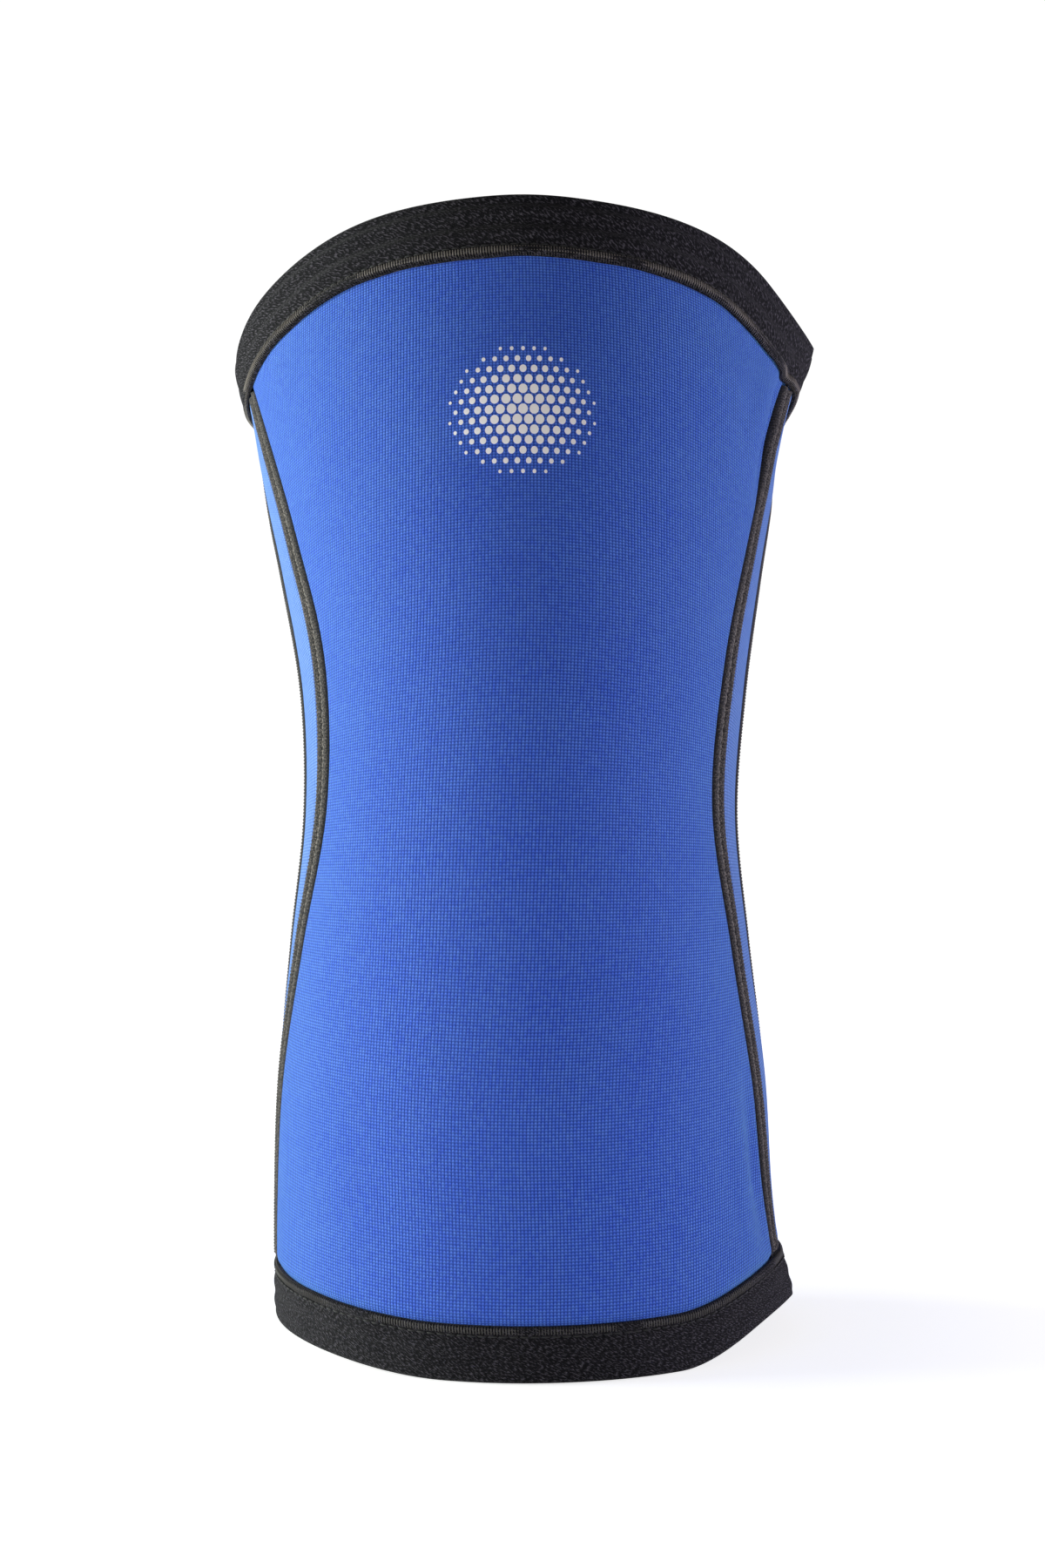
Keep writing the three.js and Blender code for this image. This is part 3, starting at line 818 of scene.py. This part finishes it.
# Hem threads
# A black lock stitch holds each band, in its groove outside and at the same height inside. A grey
# overcast goes round the turned-in lip, in slanting loops that lie side by side. The upper rim's loops
# are lighter than the lower rim's: partly their grey thread, and partly painted light from above.
HEM_STITCH = 2.6
HEM_THREAD_RADIUS = 0.26
HEM_THREAD_BOW = 0.15
HEM_THREAD_LIFT = 0.15
HOLE_SHARE = 0.08

# A loop wraps the lip between two angles, where 0 is the band's side, 90 the top and 180 the edge
LOOP_START = 20
LOOP_END = 205
LOOP_PITCH = 0.72
LOOP_SLANT = 0.5
LOOP_RADIUS = 0.2
LOOP_REACH = 1.1
LOOP_SINK = 0.3
GIRTH_STEPS = 720


def lengths_round(t, height):
    """Angles once round the sleeve, and the running length in metres at each."""
    turn = np.linspace(-np.pi, np.pi, GIRTH_STEPS + 1)
    return turn, lengths_along(skin(t, turn, height)[:, None])[:, 0]


def stitches_round(t, height, pitch):
    """How many stitches of a pitch in millimetres go once round the sleeve."""
    _, length = lengths_round(t, height)
    return round(float(length[-1]) / (pitch * MM))


def turn_at(t, height, count, share):
    """Angles at equal distances round the sleeve, a share of one step on."""
    turn, length = lengths_round(t, height)
    place = (np.arange(count) + share) / count * length[-1]
    return np.interp(place, length, turn)


def hem_stitches(name, distance, height):
    """A row of straight stitches round the sleeve, each bowed a little off the band."""
    t = distance / SLEEVE_LENGTH
    count = stitches_round(t, height, HEM_STITCH)

    def path(share, lift):
        bow = HEM_THREAD_BOW * (1 - (2 * share - 1) ** 2)
        place = HOLE_SHARE + (1 - 2 * HOLE_SHARE) * share
        return skin(t, turn_at(t, height, count, place), height + bow + lift)

    thread_stitches(name, path, HEM_THREAD_RADIUS, black_thread)


def lip_loops(name, rim_distance, inward, relief, thread):
    """Slanting loops from the lip's top over its edge. inward is 1 at the lower rim and -1 at the upper."""
    count = stitches_round(rim_distance / SLEEVE_LENGTH, 0, LOOP_PITCH)

    def path(share, lift):
        wrap = np.radians(LOOP_START + (LOOP_END - LOOP_START) * share)
        distance = rim_distance - inward * LIP_WIDTH / 2 * (1 + LOOP_REACH * np.cos(wrap))
        t = distance / SLEEVE_LENGTH
        height = BAND_TOP - LOOP_SINK + (relief["lip"] + LOOP_SINK) * np.sin(wrap) + lift
        return skin(t, turn_at(t, 0, count, LOOP_SLANT * share), height)

    thread_stitches(name, path, LOOP_RADIUS, thread)


# Painted light: the upper loops are lighter, partly for their grey thread and partly as painted light from
# above.
dark_loops = thread_material("charcoal overcast thread", (0.065, 0.06, 0.056, 1))
grey_loops_with_painted_light = thread_material("grey overcast thread with painted light", (0.19, 0.168, 0.15, 1))
for rim, edge, inward, relief, loop_thread in (
    ("lower", LOWER_BAND_HEIGHT, 1, LOWER_RELIEF, dark_loops),
    ("upper", SLEEVE_LENGTH - UPPER_BAND_HEIGHT, -1, UPPER_RELIEF, grey_loops_with_painted_light),
):
    groove_place = edge - inward * GROOVE_PLACE
    groove_floor = BAND_TOP - relief["groove"] + HEM_THREAD_LIFT
    hem_stitches(f"{rim}_hem_outer_stitches", groove_place, groove_floor)
    hem_stitches(f"{rim}_hem_inner_stitches", groove_place, -NEOPRENE_THICKNESS - BAND_TOP)
    lip_loops(f"{rim}_hem_lip_loops", edge, inward, relief, loop_thread)

# Print
# A field of dots in off-white transfer film, pressed onto the upper front. The dots shrink towards the
# rim of an oval.
PRINT_ALONG = 0.804
PRINT_HALF_WIDTH = 19.5
PRINT_HALF_HEIGHT = 16.5
DOT_PITCH = 2.9
ROW_PITCH = DOT_PITCH * 0.866
DOT_RADIUS = 1.25
DOT_SHRINK = 0.72
DOT_LIMIT = 0.98
DOT_SIDES = 20
FILM_THICKNESS = 0.12
FILM_SINK = 0.1
FILM_DULL = (0.98, 0.93, 0.93, 1)
FILM_BRIGHT = (1.0, 0.97, 0.97, 1)


def print_material():
    material, tree, shader = new_material("off-white transfer film")
    speckle = add_node(tree, "ShaderNodeGroup", node_tree=fibre_speckle)
    colour = add_mix(tree, speckle.outputs["Fleck"], FILM_DULL, FILM_BRIGHT)
    tree.links.new(colour, shader.inputs["Base Color"])
    add_relief(tree, shader, speckle.outputs["Fleck"], strength=0.15, distance=0.0001)
    shader.inputs["Roughness"].default_value = 0.5
    return material


def dot_print():
    """Closed flat dots on the jersey, in rows of which every second one is shifted by half a pitch."""
    ring = np.linspace(0, 2 * np.pi, DOT_SIDES, endpoint=False)
    rows = int(PRINT_HALF_HEIGHT / ROW_PITCH) + 1
    columns = int(PRINT_HALF_WIDTH / DOT_PITCH) + 1
    points, faces = [], []
    for row in range(-rows, rows + 1):
        for column in range(-columns, columns + 1):
            across = (column + 0.5 * (row % 2)) * DOT_PITCH
            up = row * ROW_PITCH
            off = np.hypot(across / PRINT_HALF_WIDTH, up / PRINT_HALF_HEIGHT)
            if off > DOT_LIMIT:
                continue
            radius = DOT_RADIUS * (1 - DOT_SHRINK * off**2)
            t = PRINT_ALONG + (up + radius * np.sin(ring)) / SLEEVE_LENGTH
            angle = angle_past(t, 0.0, across + radius * np.cos(ring))
            base = len(points)
            points += skin(t, angle, FILM_THICKNESS).tolist()
            points += skin(t, angle, -FILM_SINK).tolist()
            faces.append(list(range(base, base + DOT_SIDES)))
            for k in range(DOT_SIDES):
                here, following = base + k, base + (k + 1) % DOT_SIDES
                faces.append([here, here + DOT_SIDES, following + DOT_SIDES, following])
            faces.append(list(range(base + 2 * DOT_SIDES - 1, base + DOT_SIDES - 1, -1)))
    mesh = bpy.data.meshes.new("front_print")
    mesh.from_pydata(points, [], faces)
    mesh.materials.append(print_material())
    piece = add_object("front_print", mesh)
    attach(piece, "root")


dot_print()

# Floor, light and camera
# A pale floor that meets a white surround, two soft boxes at the sides, the left one stronger, a faint
# low one in front, and a level camera near half the sleeve's height.
FLOOR_SIZE = 6.0
NEAR_FLOOR = 0.1
FAR_FLOOR = 0.35
NEAR_GLOW = 0.72
FLOOR_COLOUR = (0.85, 0.85, 0.86, 1)
SURROUND_SEEN = 1.05
SURROUND_LIT = 0.07
CAMERA_PLACE = (0.0, -0.5774, 0.146)
CAMERA_LENS = 47.6
SENSOR = 36.0

# Lamps, in degrees from the camera's side towards the right, metres and watts
SOFT_BOXES = (
    {"name": "left_box", "turn": -90, "reach": 0.9, "height": 0.15, "size": (0.45, 0.5), "watts": 15.4,
     "colour": (0.99, 1.05, 0.97)},
    {"name": "right_box", "turn": 98, "reach": 0.9, "height": 0.1, "size": (0.4, 0.5), "watts": 7.2,
     "colour": (0.96, 0.9, 1.12)},
    {"name": "front_box", "turn": 0, "reach": 0.6, "height": 0.02, "size": (0.5, 0.2), "watts": 2.3,
     "colour": (1, 1, 1)},
)


def white_floor():
    """A square that glows to the camera, brighter away from the sleeve, so that its far edge is lost."""
    half = FLOOR_SIZE / 2
    mesh = bpy.data.meshes.new("floor")
    corners = [(-half, -half, 0), (half, -half, 0), (half, half, 0), (-half, half, 0)]
    mesh.from_pydata(corners, [], [(0, 1, 2, 3)])
    material, tree, shader = new_material("white floor")
    shader.inputs["Base Color"].default_value = FLOOR_COLOUR
    shader.inputs["Roughness"].default_value = 0.8
    shader.inputs["Emission Color"].default_value = (1, 1, 1, 1)
    place = add_node(tree, "ShaderNodeNewGeometry").outputs["Position"]
    away = add_node(tree, "ShaderNodeVectorMath", {0: place}, operation="LENGTH").outputs["Value"]
    glow = add_range(tree, away, NEAR_FLOOR, FAR_FLOOR, NEAR_GLOW, 1.0)
    seen = add_node(tree, "ShaderNodeLightPath").outputs["Is Camera Ray"]
    tree.links.new(add_math(tree, "MULTIPLY", glow, seen), shader.inputs["Emission Strength"])
    mesh.materials.append(material)
    floor = add_object("floor", mesh)


def soft_box(name, turn, reach, height, size, watts, colour):
    """A lamp that faces the sleeve, turned in degrees from the camera's side towards the right."""
    light = bpy.data.lights.new(name, "AREA")
    light.shape = "RECTANGLE"
    light.size, light.size_y = size
    light.energy = watts
    light.color = colour
    lamp = add_object(name, light)
    turn = np.radians(turn)
    lamp.location = (reach * np.sin(turn), -reach * np.cos(turn), height)
    aim = Vector((0, 0, SLEEVE_LENGTH * MM / 2)) - lamp.location
    lamp.rotation_euler = aim.to_track_quat("-Z", "Y").to_euler()


def white_surround():
    """A surround that is white to the camera and lights the scene more softly."""
    world = bpy.data.worlds.new("surround")
    world.use_nodes = True
    tree = world.node_tree
    background = tree.nodes["Background"]
    background.inputs["Color"].default_value = (1, 1, 1, 1)
    rays = add_node(tree, "ShaderNodeLightPath")
    extra = SURROUND_SEEN - SURROUND_LIT
    strength = add_math(tree, "MULTIPLY_ADD", rays.outputs["Is Camera Ray"], extra, SURROUND_LIT)
    tree.links.new(strength, background.inputs["Strength"])
    bpy.context.scene.world = world


white_floor()
white_surround()
for row in SOFT_BOXES:
    soft_box(**row)

camera = bpy.data.cameras.new("camera")
camera.lens = CAMERA_LENS
camera.sensor_width = SENSOR
viewpoint = add_object("camera", camera)
viewpoint.location = CAMERA_PLACE
viewpoint.rotation_euler = (np.pi / 2, 0, 0)
bpy.context.scene.camera = viewpoint
bpy.context.scene.view_settings.view_transform = "Standard"
